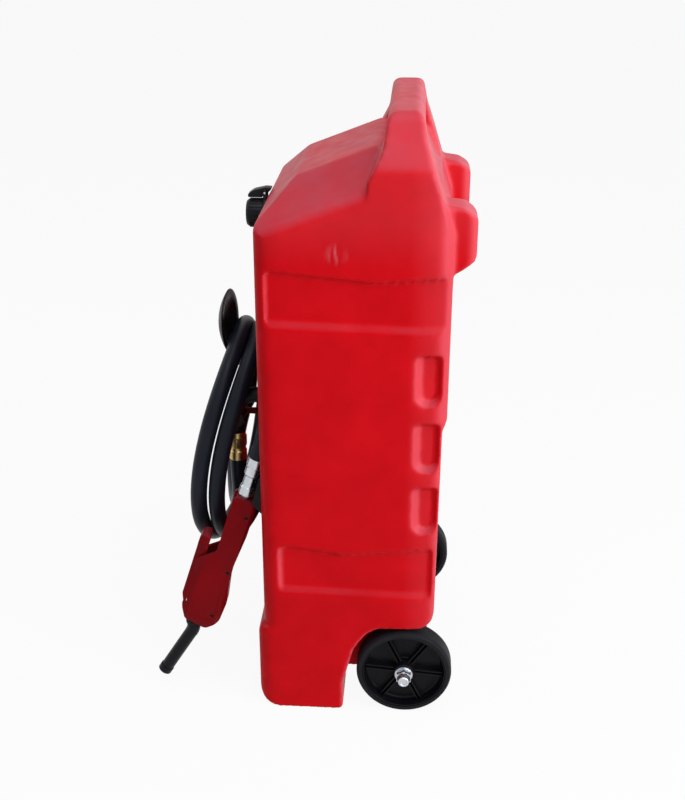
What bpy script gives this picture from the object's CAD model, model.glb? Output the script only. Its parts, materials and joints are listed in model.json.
# %% [markdown]
# # A wheeled fuel caddy
#
# A caddy like this carries fuel from a pump to a machine. Its tank is blow-moulded
# polyethylene: a soft plastic tube is blown against a cold mould, so every edge comes out
# rounded, the skin is satin, and broad faces are never quite flat. Round it sit the parts
# that do the work: a hose on a hanger, a hand pump in a holster, a filler cap, two wheels.
#
# The hard shapes come from the CAD model as a fixed frame. This notebook adds what CAD
# leaves out: the soft skin of the tank, the smooth hose, and the finish of every part.

# %% Load the frame
import json
from math import cos, pi, radians, sin

import bmesh
import bpy
from mathutils import Euler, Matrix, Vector


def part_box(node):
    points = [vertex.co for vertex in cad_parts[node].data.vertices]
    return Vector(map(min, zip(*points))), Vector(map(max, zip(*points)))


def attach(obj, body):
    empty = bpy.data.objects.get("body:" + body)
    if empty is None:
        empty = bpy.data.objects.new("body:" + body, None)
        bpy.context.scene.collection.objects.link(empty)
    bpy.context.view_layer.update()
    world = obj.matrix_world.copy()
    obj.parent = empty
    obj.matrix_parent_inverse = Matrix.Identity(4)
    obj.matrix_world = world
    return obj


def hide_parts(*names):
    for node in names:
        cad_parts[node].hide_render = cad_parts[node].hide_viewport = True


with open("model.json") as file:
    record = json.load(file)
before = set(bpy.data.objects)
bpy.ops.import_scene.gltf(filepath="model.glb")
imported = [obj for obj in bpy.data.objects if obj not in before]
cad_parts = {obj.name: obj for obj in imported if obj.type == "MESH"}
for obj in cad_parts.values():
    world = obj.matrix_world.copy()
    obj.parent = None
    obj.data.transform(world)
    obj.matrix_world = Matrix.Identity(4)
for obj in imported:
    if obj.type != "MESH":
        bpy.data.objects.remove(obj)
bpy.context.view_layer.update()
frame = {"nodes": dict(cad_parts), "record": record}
MM = 0.001
print("CAD nodes:", len(frame["nodes"]))

# %% [markdown]
# ## Where things are
#
# Lengths are in metres and the floor is z = 0. The CAD model measures from the tank: from
# its middle plane, which the axle gives away, because it lies 83 mm behind it, and from a
# level 9 mm above the floor. `spot` turns such a place, in millimetres, into one in the
# frame.

# %% Places on the caddy
AXLE_BEHIND = 83
FOOT_DROP = 9
AXLE_LOW, AXLE_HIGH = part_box("axle")
TANK_MIDDLE = (AXLE_LOW[1] + AXLE_HIGH[1]) / 2 - AXLE_BEHIND * MM


def spot(x, y, z):
    """A place in the frame, from millimetres in the tank's own measure."""
    return Vector((x * MM, TANK_MIDDLE + y * MM, (z + FOOT_DROP) * MM))


print("tank middle at y = %.4f" % TANK_MIDDLE)

# %% [markdown]
# ## The camera
#
# The caddy is seen from its right-hand side, from above the handle and fairly near, which
# is why the floor end looks smaller than the top. The camera's turn comes from the line
# that it looks along, so heading and pitch can be read as on a tripod.

# %% Camera
FRAME_HIGH_PX = 800
FOCAL_PX = 1160
CAMERA_AT = spot(1698, 82.5, 1205)
HEADING, PITCH = radians(3.67), radians(24)
camera_data = bpy.data.cameras.new("camera")
camera_data.lens = camera_data.sensor_width * FOCAL_PX / FRAME_HIGH_PX
camera = bpy.data.objects.new("camera", camera_data)
bpy.context.scene.collection.objects.link(camera)
bpy.context.scene.camera = camera
camera.location = CAMERA_AT
look = Vector((-cos(HEADING) * cos(PITCH), -sin(HEADING) * cos(PITCH), -sin(PITCH)))
camera.rotation_euler = look.to_track_quat("-Z", "Y").to_euler()
print("camera looks along", [round(v, 3) for v in look])

# %% [markdown]
# ## The hose
#
# The hose is one smooth tube, 2.9 metres of it. It leaves the swivel on the pump's
# grip, runs up and over the hanger, makes two and a quarter loops that swing forward below
# the hanger, and ends at the brass tail under the outlet. The two ends were laid by hand,
# point by point, and the loops between them are worked out. A tube like this is a curve
# with a round bevel: the curve is the centre line, and the bevel is the rubber.

# %% Route of the hose
HOSE_R = 13.0
LOOP_R = 122.0
LOOP_TOP, LOOP_LOW = 563.0, 209.5
LOOP_FIRST_Y, LOOP_PITCH, LOOP_LEAN = -127.5, 28.5, 72.0
LOOP_TURNS = 2.25
RINGS_PER_LOOP = 32
HANGER_X = -12.0
SIDE = LOOP_TOP - LOOP_LOW - 2 * LOOP_R
LOOP_LEN = 2 * pi * LOOP_R + 2 * SIDE


def loop_ring(s):
    """X and Z on one hanging loop, s millimetres after the top of the hanger."""
    quarter = pi * LOOP_R / 2
    high, low = LOOP_TOP - LOOP_R, LOOP_LOW + LOOP_R
    if s < quarter:
        return -LOOP_R * sin(s / LOOP_R), high + LOOP_R * cos(s / LOOP_R)
    if s < quarter + SIDE:
        return -LOOP_R, high - (s - quarter)
    if s < 3 * quarter + SIDE:
        a = (s - quarter - SIDE) / LOOP_R
        return -LOOP_R * cos(a), low - LOOP_R * sin(a)
    if s < 3 * quarter + 2 * SIDE:
        return LOOP_R, low + (s - 3 * quarter - SIDE)
    a = (s - 3 * quarter - 2 * SIDE) / LOOP_R
    return LOOP_R * cos(a), high + LOOP_R * sin(a)


def loop_point(turns):
    """A point of the hanging loops, after that many turns from the first crossing."""
    phase = turns - int(turns)
    x, z = loop_ring(phase * LOOP_LEN)
    swing = LOOP_LEAN * (1 - cos(2 * pi * phase**1.6)) / 2
    return HANGER_X + x, LOOP_FIRST_Y - LOOP_PITCH * turns - swing, z


LEAN = radians(18)
PUMP_AT = (142, -235, 165)
SWIVEL_TOP, SWIVEL_BACK = 262, 8


def above_swivel(mm):
    """A point on the pump's long axis, mm beyond the swivel's end."""
    up = SWIVEL_TOP + mm
    return (
        PUMP_AT[0],
        PUMP_AT[1] + SWIVEL_BACK * cos(LEAN) + up * sin(LEAN),
        PUMP_AT[2] - SWIVEL_BACK * sin(LEAN) + up * cos(LEAN),
    )


PUMP_LEAD = [above_swivel(0.05), above_swivel(13), above_swivel(26)] + [
    (142, -132.5, 459), (140, -129.5, 479.5), (135, -128.4, 498.5), (126.5, -128.1, 515),
    (114, -128, 530), (99, -128, 542.5), (81, -128, 552), (61, -128, 558.5),
    (40, -128, 562.3), (20, -128, 563), (4, -128, 563),
]
TANK_LEAD = [
    (-134, -206, 373), (-132.8, -212, 351), (-129, -217, 329), (-121, -220.5, 307),
    (-108.5, -222, 287), (-92, -221, 270.5), (-72, -218, 258.5), (-49, -213.5, 252),
    (-26, -208.5, 251.5), (-3, -203, 256), (18, -197.5, 265.5), (36.5, -193, 280),
    (51.5, -189.5, 298.5), (62.5, -187.5, 320.5), (68.5, -187, 344), (70, -187, 361),
    (70, -187, 375),
]
rings = round(RINGS_PER_LOOP * LOOP_TURNS)
route = PUMP_LEAD + [loop_point(i * LOOP_TURNS / rings) for i in range(rings + 1)] + TANK_LEAD
route = [spot(*at) for at in route]


def smooth_line(points, step):
    """A round line through the points, at about one point to every step."""
    line = [points[0]]
    ends = [points[0] * 2 - points[1], *points, points[-1] * 2 - points[-2]]
    for before, a, b, after in zip(ends, ends[1:], ends[2:], ends[3:]):
        span = (b - a).length
        if span < 1e-6:
            continue
        pull_a = (b - before) * (span / max((b - a).length + (a - before).length, 1e-6))
        pull_b = (after - a) * (span / max((after - b).length + (b - a).length, 1e-6))
        n = max(1, round(span / step))
        for i in range(1, n + 1):
            t = i / n
            line.append(
                a * (2 * t**3 - 3 * t**2 + 1) + pull_a * (t**3 - 2 * t**2 + t)
                + b * (3 * t**2 - 2 * t**3) + pull_b * (t**3 - t**2)
            )
    return line


hose_line = smooth_line(route, 4 * MM)
hose_length = sum((b - a).length for a, b in zip(hose_line, hose_line[1:]))
print("hose: %d points, %.3f m" % (len(hose_line), hose_length))


# %% Hose tube
def only(obj):
    """Selects one object and makes it active."""
    bpy.ops.object.select_all(action="DESELECT")
    obj.select_set(True)
    bpy.context.view_layer.objects.active = obj


def tube_curve(name, line, radius, sides=8):
    """A curve of one open spline with a round bevel and closed ends."""
    data = bpy.data.curves.new(name, "CURVE")
    data.dimensions = "3D"
    data.bevel_depth = radius
    data.bevel_resolution = sides
    data.use_fill_caps = True
    spline = data.splines.new("POLY")
    spline.points.add(len(line) - 1)
    for point, at in zip(spline.points, line):
        point.co = (*at, 1)
    spline.use_smooth = True
    obj = bpy.data.objects.new(name, data)
    bpy.context.scene.collection.objects.link(obj)
    return obj


hose = tube_curve("hose_tube", hose_line, HOSE_R * MM)
only(hose)
bpy.ops.object.convert(target="MESH")
hose = bpy.context.active_object
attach(hose, "caddy")
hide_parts("hose_pump_lead", "hose_loops", "hose_tank_lead")

# %% [markdown]
# ## Finishes
#
# A finish is a small recipe of shader nodes. Most moulded parts need the same three
# things: a colour that drifts a little, a roughness that drifts with it, and a bump fine
# enough to be felt more than seen. One helper makes that base, and each finish then adds
# what is its own. Patterns read Object coordinates, so they stay put on every piece.


# %% Helpers for finishes
def node_of(tree, kind):
    """The tree's own node of a kind."""
    return next(n for n in tree.nodes if n.type == kind)


def add_node(tree, kind, label="", **values):
    """A shader node, with its settings and unlinked sockets given by name."""
    node = tree.nodes.new(kind)
    node.label = label
    for key, value in values.items():
        if hasattr(node, key):
            setattr(node, key, value)
        else:
            node.inputs[key.replace("_", " ").capitalize()].default_value = value
    return node


def ramp(tree, value, span, out, label=""):
    """Turns a value's span into another one, held at both ends."""
    node = add_node(tree, "ShaderNodeMapRange", label)
    for name, number in zip(("From Min", "From Max", "To Min", "To Max"), (*span, *out)):
        node.inputs[name].default_value = number
    tree.links.new(value, node.inputs["Value"])
    return node.outputs["Result"]


def combine(tree, operation, a, b, label=""):
    """One math node on two outputs."""
    node = add_node(tree, "ShaderNodeMath", label, operation=operation)
    tree.links.new(a, node.inputs[0])
    tree.links.new(b, node.inputs[1])
    return node.outputs[0]


def axes_of(tree, vector):
    """The X, Y and Z outputs of a vector."""
    split = add_node(tree, "ShaderNodeSeparateXYZ")
    tree.links.new(vector, split.inputs[0])
    return split.outputs


NOISE_SPAN = (0.3, 0.7)


def drift(tree, coords, scale, low, high, detail=4, stretch=None, label=""):
    """A slow random number between low and high over the surface."""
    source = coords
    if stretch:
        mapping = add_node(tree, "ShaderNodeMapping", label)
        mapping.inputs["Scale"].default_value = stretch
        tree.links.new(coords, mapping.inputs["Vector"])
        source = mapping.outputs["Vector"]
    noise = add_node(tree, "ShaderNodeTexNoise", label, scale=scale, detail=detail)
    tree.links.new(source, noise.inputs["Vector"])
    return ramp(tree, noise.outputs["Fac"], NOISE_SPAN, (low, high), label)


def tint(tree, amount, a, b, label=""):
    """A colour between a and b; a may be a colour or another node's output."""
    mix = add_node(tree, "ShaderNodeMix", label, data_type="RGBA")
    for socket, value in ((mix.inputs[6], a), (mix.inputs[7], b)):
        if isinstance(value, tuple):
            socket.default_value = (*value, 1)
        else:
            tree.links.new(value, socket)
    tree.links.new(amount, mix.inputs[0])
    return mix.outputs[2]


def base_finish(name, colour, other, rough, metal=0.0, gloss=0.5, drift_scale=18, grain=900,
                grain_depth=0.03):
    """A finish with drifting colour and roughness and a fine grain. Returns its parts."""
    finish = bpy.data.materials.new(name)
    finish.use_nodes = True
    tree = finish.node_tree
    shader = node_of(tree, "BSDF_PRINCIPLED")
    shader.inputs["Metallic"].default_value = metal
    shader.inputs["Specular IOR Level"].default_value = gloss
    coords = add_node(tree, "ShaderNodeTexCoord", "place on the piece").outputs["Object"]
    blend = tint(tree, drift(tree, coords, drift_scale, 0, 1, label="colour drift"), colour, other)
    tree.links.new(blend, shader.inputs["Base Color"])
    tree.links.new(drift(tree, coords, drift_scale * 2.3, *rough, label="roughness drift"),
                   shader.inputs["Roughness"])
    fine = add_node(tree, "ShaderNodeTexNoise", "fine grain", scale=grain, detail=3)
    tree.links.new(coords, fine.inputs["Vector"])
    bump = add_node(tree, "ShaderNodeBump", "grain", strength=grain_depth, distance=0.001)
    tree.links.new(fine.outputs["Fac"], bump.inputs["Height"])
    tree.links.new(bump.outputs["Normal"], shader.inputs["Normal"])
    return finish, tree, shader, coords, blend, bump


# %% [markdown]
# ### Red polyethylene
#
# The tank's skin is satin, dyed right through. Dust settles on what faces up, and the sun
# has bleached what faces back, so the finish mixes in paler colours by the way the surface
# faces. The upper block is a little chalky too, and on its side is one scraped patch: long
# thin scratches are noise stretched along one direction.


# %% Satin red
def red_plastic(name, colour, other, dust, rough):
    """Satin red plastic with dust on what faces up. Also returns its parts, for more wear."""
    finish, tree, shader, coords, blend, bump = base_finish(
        name, colour, other, rough, gloss=0.055, grain=700)
    facing = add_node(tree, "ShaderNodeNewGeometry", "which way the surface faces").outputs["Normal"]
    up = ramp(tree, axes_of(tree, facing)["Z"], (0.2, 0.65), (0, dust), "facing up")
    patches = drift(tree, coords, 14, 0.45, 1.15, detail=8, label="dust patches")
    amount = combine(tree, "MULTIPLY", up, patches, "patchy dust")
    dusted = tint(tree, amount, blend, (0.25, 0.15, 0.21), "dust")
    tree.links.new(dusted, shader.inputs["Base Color"])
    wave = add_node(tree, "ShaderNodeTexNoise", "uneven blown skin", scale=9, detail=1)
    tree.links.new(coords, wave.inputs["Vector"])
    swell = add_node(tree, "ShaderNodeBump", "uneven skin", strength=0.35, distance=0.004)
    tree.links.new(wave.outputs["Fac"], swell.inputs["Height"])
    tree.links.new(bump.outputs["Normal"], swell.inputs["Normal"])
    tree.links.new(swell.outputs["Normal"], shader.inputs["Normal"])
    shader.inputs["Subsurface Weight"].default_value = 0.06
    shader.inputs["Subsurface Radius"].default_value = (0.006, 0.001, 0.001)
    return finish, tree, shader, coords, facing, dusted


# %% The tank's red, bleached and scraped
SCRAPED_AT = spot(198, -22, 749)
tank_red, tree, shader, coords, facing, dusted = red_plastic(
    "red_polyethylene", (0.60, 0.003, 0.008), (0.52, 0.002, 0.006), 0.27, (0.36, 0.48))
back = ramp(tree, axes_of(tree, facing)["Y"], (0.02, 0.6), (0, 0.22), "facing back")
height = ramp(tree, axes_of(tree, coords)["Z"], (0.74, 0.80), (0, 0.045), "upper block")
bleach = combine(tree, "ADD", back, height, "bleach")
bleached = tint(tree, bleach, dusted, (0.75, 0.24, 0.31), "bleached")
reach = add_node(tree, "ShaderNodeVectorMath", "from the scraped patch", operation="DISTANCE")
reach.inputs[1].default_value = SCRAPED_AT
tree.links.new(coords, reach.inputs[0])
near = ramp(tree, reach.outputs["Value"], (0.004, 0.018), (0.3, 0), "scraped patch")
streaks = drift(tree, coords, 110, -0.5, 1.0, detail=6, stretch=(1, 1.6, 0.22), label="scratches")
scrape = combine(tree, "MULTIPLY", near, streaks, "scrape")
scraped = tint(tree, scrape, bleached, (0.62, 0.28, 0.36), "scraped")
tree.links.new(scraped, shader.inputs["Base Color"])

# %% The pump's red
pump_red = red_plastic(
    "red_pump_plastic", (0.20, 0.002, 0.005), (0.17, 0.002, 0.004), 0.10, (0.30, 0.42))[0]
print("red finishes:", tank_red.name, pump_red.name)

# %% [markdown]
# ### Black parts, metals and the rest
#
# Black plastic is never quite black: the hose has a bluish sheen, the wheels are glossy,
# and the mouldings between them are satin. The plated nuts are bright with a brushed
# drift, and the brass has gone slightly dull.


# %% Black, metal and ivory finishes
def plain_finish(*values, **settings):
    """The base finish alone."""
    return base_finish(*values, **settings)[0]


hose_black = plain_finish(
    "hose_rubber", (0.006, 0.008, 0.015), (0.010, 0.012, 0.020), (0.36, 0.48),
    gloss=0.14, grain=500, grain_depth=0.05)
black_plastic = plain_finish(
    "black_plastic", (0.006, 0.006, 0.008), (0.010, 0.010, 0.013), (0.34, 0.48), gloss=0.12)
spout_black = plain_finish(
    "spout_plastic", (0.005, 0.005, 0.008), (0.008, 0.008, 0.011), (0.28, 0.40), gloss=0.12)
wheel_black = plain_finish(
    "wheel_plastic", (0.003, 0.003, 0.005), (0.005, 0.005, 0.007), (0.24, 0.36), gloss=0.10)
tyre_black = plain_finish(
    "tyre_plastic", (0.006, 0.006, 0.008), (0.012, 0.012, 0.015), (0.50, 0.66),
    gloss=0.10, grain=420, grain_depth=0.12)
gasket_rubber = plain_finish(
    "gasket_rubber", (0.03, 0.03, 0.03), (0.05, 0.05, 0.05), (0.7, 0.8))
zinc = plain_finish(
    "zinc_plate", (0.62, 0.64, 0.67), (0.50, 0.53, 0.58), (0.22, 0.38),
    metal=1.0, drift_scale=90, grain=1500)
brass = plain_finish(
    "dull_brass", (0.62, 0.44, 0.18), (0.45, 0.31, 0.13), (0.26, 0.42),
    metal=1.0, drift_scale=120)
ivory = plain_finish(
    "ivory_plastic", (0.74, 0.71, 0.62), (0.68, 0.64, 0.54), (0.4, 0.5))

# %% A finish for every part
finish_of = {
    "tank": tank_red, "pump_red": pump_red, "black": black_plastic, "spout": spout_black,
    "wheel": wheel_black, "tyre": tyre_black, "hose": hose_black, "rubber": gasket_rubber,
    "steel": zinc, "brass": brass, "ivory": ivory,
}
slot_of = {s["node"]: s["material_slot"] for s in frame["record"]["subparts"]}


def give_finish(obj, finish):
    """Makes one finish the whole finish of a piece."""
    obj.data.materials.clear()
    obj.data.materials.append(finish)


for name, obj in frame["nodes"].items():
    for i in range(len(obj.material_slots)):
        obj.material_slots[i].material = finish_of[slot_of[name]]
give_finish(hose, hose_black)
give_finish(frame["nodes"]["pump_screws"], black_plastic)
print("finishes:", len(finish_of))

# %% [markdown]
# ## Light, floor and backdrop
#
# Big soft lamps stand at a plain level, so a colour renders about as it is written. The
# floor and the world turn white for the camera and in reflections only, so the white never
# adds light to the object.


# %% Lamps
CADDY_MIDDLE = Vector((0, 0, 0.45))


def area_lamp(name, place, size, power, colour=(1, 1, 1)):
    """A square soft lamp at a place, turned to the caddy's middle."""
    data = bpy.data.lights.new(name, "AREA")
    data.shape, data.size, data.energy, data.color = "SQUARE", size, power, colour
    lamp = bpy.data.objects.new(name, data)
    lamp.location = place
    lamp.rotation_euler = (CADDY_MIDDLE - lamp.location).to_track_quat("-Z", "Y").to_euler()
    bpy.context.scene.collection.objects.link(lamp)


area_lamp("sky_lamp", (0.9, 0.5, 3.2), 2.4, 58, (0.97, 0.98, 1.0))
area_lamp("side_lamp", (2.7, 1.5, 2.2), 1.6, 16, (1.0, 0.99, 0.97))
area_lamp("rear_lamp", (1.5, 2.6, 1.2), 1.4, 62)
area_lamp("front_lamp", (-0.6, -2.8, 1.4), 1.8, 8)
print("lamps:", len(bpy.data.lights))


# %% White to the eye only
def show_white(tree, lit, white, share, output):
    """Mixes plain white into what the camera and reflections see; other rays see `lit`."""
    path = add_node(tree, "ShaderNodeLightPath")
    seen = path.outputs["Is Camera Ray"]
    for ray in ("Is Glossy Ray", "Is Transmission Ray"):
        seen = combine(tree, "MAXIMUM", seen, path.outputs[ray], "seen, or in a reflection")
    part = add_node(tree, "ShaderNodeMath", "share of plain white", operation="MULTIPLY")
    part.inputs[1].default_value = share
    tree.links.new(seen, part.inputs[0])
    switch = add_node(tree, "ShaderNodeMixShader")
    for socket, source in zip(switch.inputs, (part.outputs[0], lit.outputs[0], white.outputs[0])):
        tree.links.new(source, socket)
    tree.links.new(switch.outputs[0], output.inputs["Surface"])


# %% Backdrop
scene = bpy.context.scene
scene.view_settings.view_transform = "Standard"
world = bpy.data.worlds.new("studio")
scene.world = world
world.use_nodes = True
sky = world.node_tree
backdrop = node_of(sky, "BACKGROUND")
backdrop.inputs["Color"].default_value = (0.93, 0.95, 1.0, 1)
backdrop.inputs["Strength"].default_value = 0.27
white_sky = add_node(sky, "ShaderNodeBackground", "white seen by the camera")
white_sky.inputs["Color"].default_value = (1, 1, 1, 1)
show_white(sky, backdrop, white_sky, 1.0, node_of(sky, "OUTPUT_WORLD"))

# %% Floor
bpy.ops.object.select_all(action="DESELECT")
bpy.ops.mesh.primitive_plane_add(size=30, location=(0, 0, 0))
floor = bpy.context.active_object
floor.name = "floor"
floor_finish = bpy.data.materials.new("pale_floor")
floor_finish.use_nodes = True
ground = floor_finish.node_tree
floor_shader = node_of(ground, "BSDF_PRINCIPLED")
floor_shader.inputs["Base Color"].default_value = (0.68, 0.68, 0.68, 1)
floor_shader.inputs["Roughness"].default_value = 0.9
floor_shader.inputs["Specular IOR Level"].default_value = 0.0
plain_white = add_node(ground, "ShaderNodeEmission", "plain white")
plain_white.inputs["Color"].default_value = (1, 1, 1, 1)
show_white(ground, floor_shader, plain_white, 0.93, node_of(ground, "OUTPUT_MATERIAL"))
give_finish(floor, floor_finish)

# %% [markdown]
# ## The tank's skin
#
# Blow moulding rounds everything. The CAD tank has true flats and crisp edges, so its
# outer skin is made again here: a copy of the mesh is closed at its two ports, rebuilt on
# an even grid, which drops the inside wall, and then relaxed. Relaxing an even grid
# rounds each edge by about the same few millimetres, as cooling plastic does. An even grid
# cuts a nearly level edge into long steps, so the mesh is rebuilt at a tilt, where the
# steps are short and the relaxing takes most of them away.


# %% Helpers for copies
def copy_of(node, name):
    """A merged copy of a CAD node's mesh as a new piece."""
    source = frame["nodes"][node]
    piece = bpy.data.objects.new(name, source.data.copy())
    bpy.context.scene.collection.objects.link(piece)
    mesh = bmesh.new()
    mesh.from_mesh(piece.data)
    bmesh.ops.remove_doubles(mesh, verts=mesh.verts, dist=1e-6)
    mesh.to_mesh(piece.data)
    mesh.free()
    return piece


def apply(obj, kind, **settings):
    """Adds a modifier with the given settings and applies it."""
    only(obj)
    modifier = obj.modifiers.new(kind.lower(), kind)
    for key, value in settings.items():
        setattr(modifier, key, value)
    bpy.ops.object.modifier_apply(modifier=modifier.name)


# %% Close the ports and rebuild
GRID_STEP, RELAX_STEPS = 2.6, 13
NECK_PORT, OUTLET_PORT = spot(0, -149, 753), spot(70, -111, 484)
TILT = Euler((0.5, 0.3, 0.4)).to_matrix().to_4x4()


def plug(radius, depth, place):
    """A closed plug along Y, sizes in millimetres."""
    bpy.ops.mesh.primitive_cylinder_add(vertices=32, radius=radius * MM, depth=depth * MM,
                                        location=place, rotation=(pi / 2, 0, 0))
    return bpy.context.active_object


skin = copy_of("tank", "tank_skin")
plugs = [plug(15.5, 24, NECK_PORT), plug(12, 12, OUTLET_PORT)]
only(skin)
for obj in plugs:
    obj.select_set(True)
bpy.ops.object.join()
skin.data.transform(TILT)
apply(skin, "REMESH", mode="VOXEL", voxel_size=GRID_STEP * MM, use_smooth_shade=True)
apply(skin, "SMOOTH", factor=0.5, iterations=RELAX_STEPS)
skin.data.transform(TILT.inverted())
print("rebuilt skin:", len(skin.data.polygons), "faces")

# %% [markdown]
# ### Crowned sides
#
# A broad wall of blown plastic pulls in as it cools, so a tank's sides are a little
# crowned. Here each side wall draws in towards the rear and, less, towards the front, by a
# square law that starts softly. At the end the mesh is thinned, which hardly shows on it.

# %% Crown the sides
SIDE_FROM, SIDE_OVER = 150, 40
CROWN_REAR, REAR_FROM, REAR_OVER = 8, 72, 65
CROWN_FRONT, FRONT_FROM, FRONT_OVER = 4, -100, 37
MOST_TRIANGLES = 195000


def progress(value, start, over):
    """How far a value has come from start, over a stretch, held between 0 and 1."""
    return min(max((value - start) / over, 0), 1)


def draw_in(y):
    """How far the side walls draw in towards the rear and front edges, in metres."""
    rear = progress(y, spot(0, REAR_FROM, 0).y, REAR_OVER * MM)
    front = progress(-y, -spot(0, FRONT_FROM, 0).y, FRONT_OVER * MM)
    return (CROWN_REAR * rear**2 + CROWN_FRONT * front**2) * MM


for vertex in skin.data.vertices:
    near_side = progress(abs(vertex.co.x), SIDE_FROM * MM, SIDE_OVER * MM)
    vertex.co.x -= near_side * draw_in(vertex.co.y) * (1 if vertex.co.x > 0 else -1)
apply(skin, "DECIMATE", ratio=min(1.0, MOST_TRIANGLES / (2 * len(skin.data.polygons))))
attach(skin, "caddy")
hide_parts("tank")
give_finish(skin, tank_red)
print("tank skin:", len(skin.data.polygons), "faces")

# %% [markdown]
# ## Softened mouldings
#
# The other mouldings keep their CAD shape. A copy gets a small bevel along its edges,
# which is what catches the light on a real moulding, and smooth shading between them.


# %% Softened copies
def softened(node, width):
    """A copy of a CAD node with its edges rounded, width in millimetres, in its place."""
    piece = copy_of(node, node + "_soft")
    apply(piece, "BEVEL", width=width * MM, segments=2, limit_method="ANGLE",
          angle_limit=radians(35), harden_normals=False, use_clamp_overlap=True)
    only(piece)
    bpy.ops.object.shade_smooth_by_angle(angle=radians(40))
    body = next(b for b, nodes in frame["record"]["behaviour"]["bodies"].items() if node in nodes)
    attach(piece, body)
    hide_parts(node)
    give_finish(piece, finish_of[slot_of[node]])


soft_edges = {
    "pump_shell_left": 1.6, "pump_shell_right": 1.6, "squeeze_lever": 1.6, "filler_cap": 0.5,
    "neck_collar": 0.6, "cap_latch": 0.8, "hose_hanger": 1.2, "outlet_elbow": 0.6, "hose_nut": 0.7,
    "pump_holster": 0.8, "wheel_left": 0.6, "wheel_right": 0.6, "axle_nuts": 0.6, "valve_lever": 0.7,
}
for node_name, width in soft_edges.items():
    softened(node_name, width)
print("softened:", len(soft_edges))
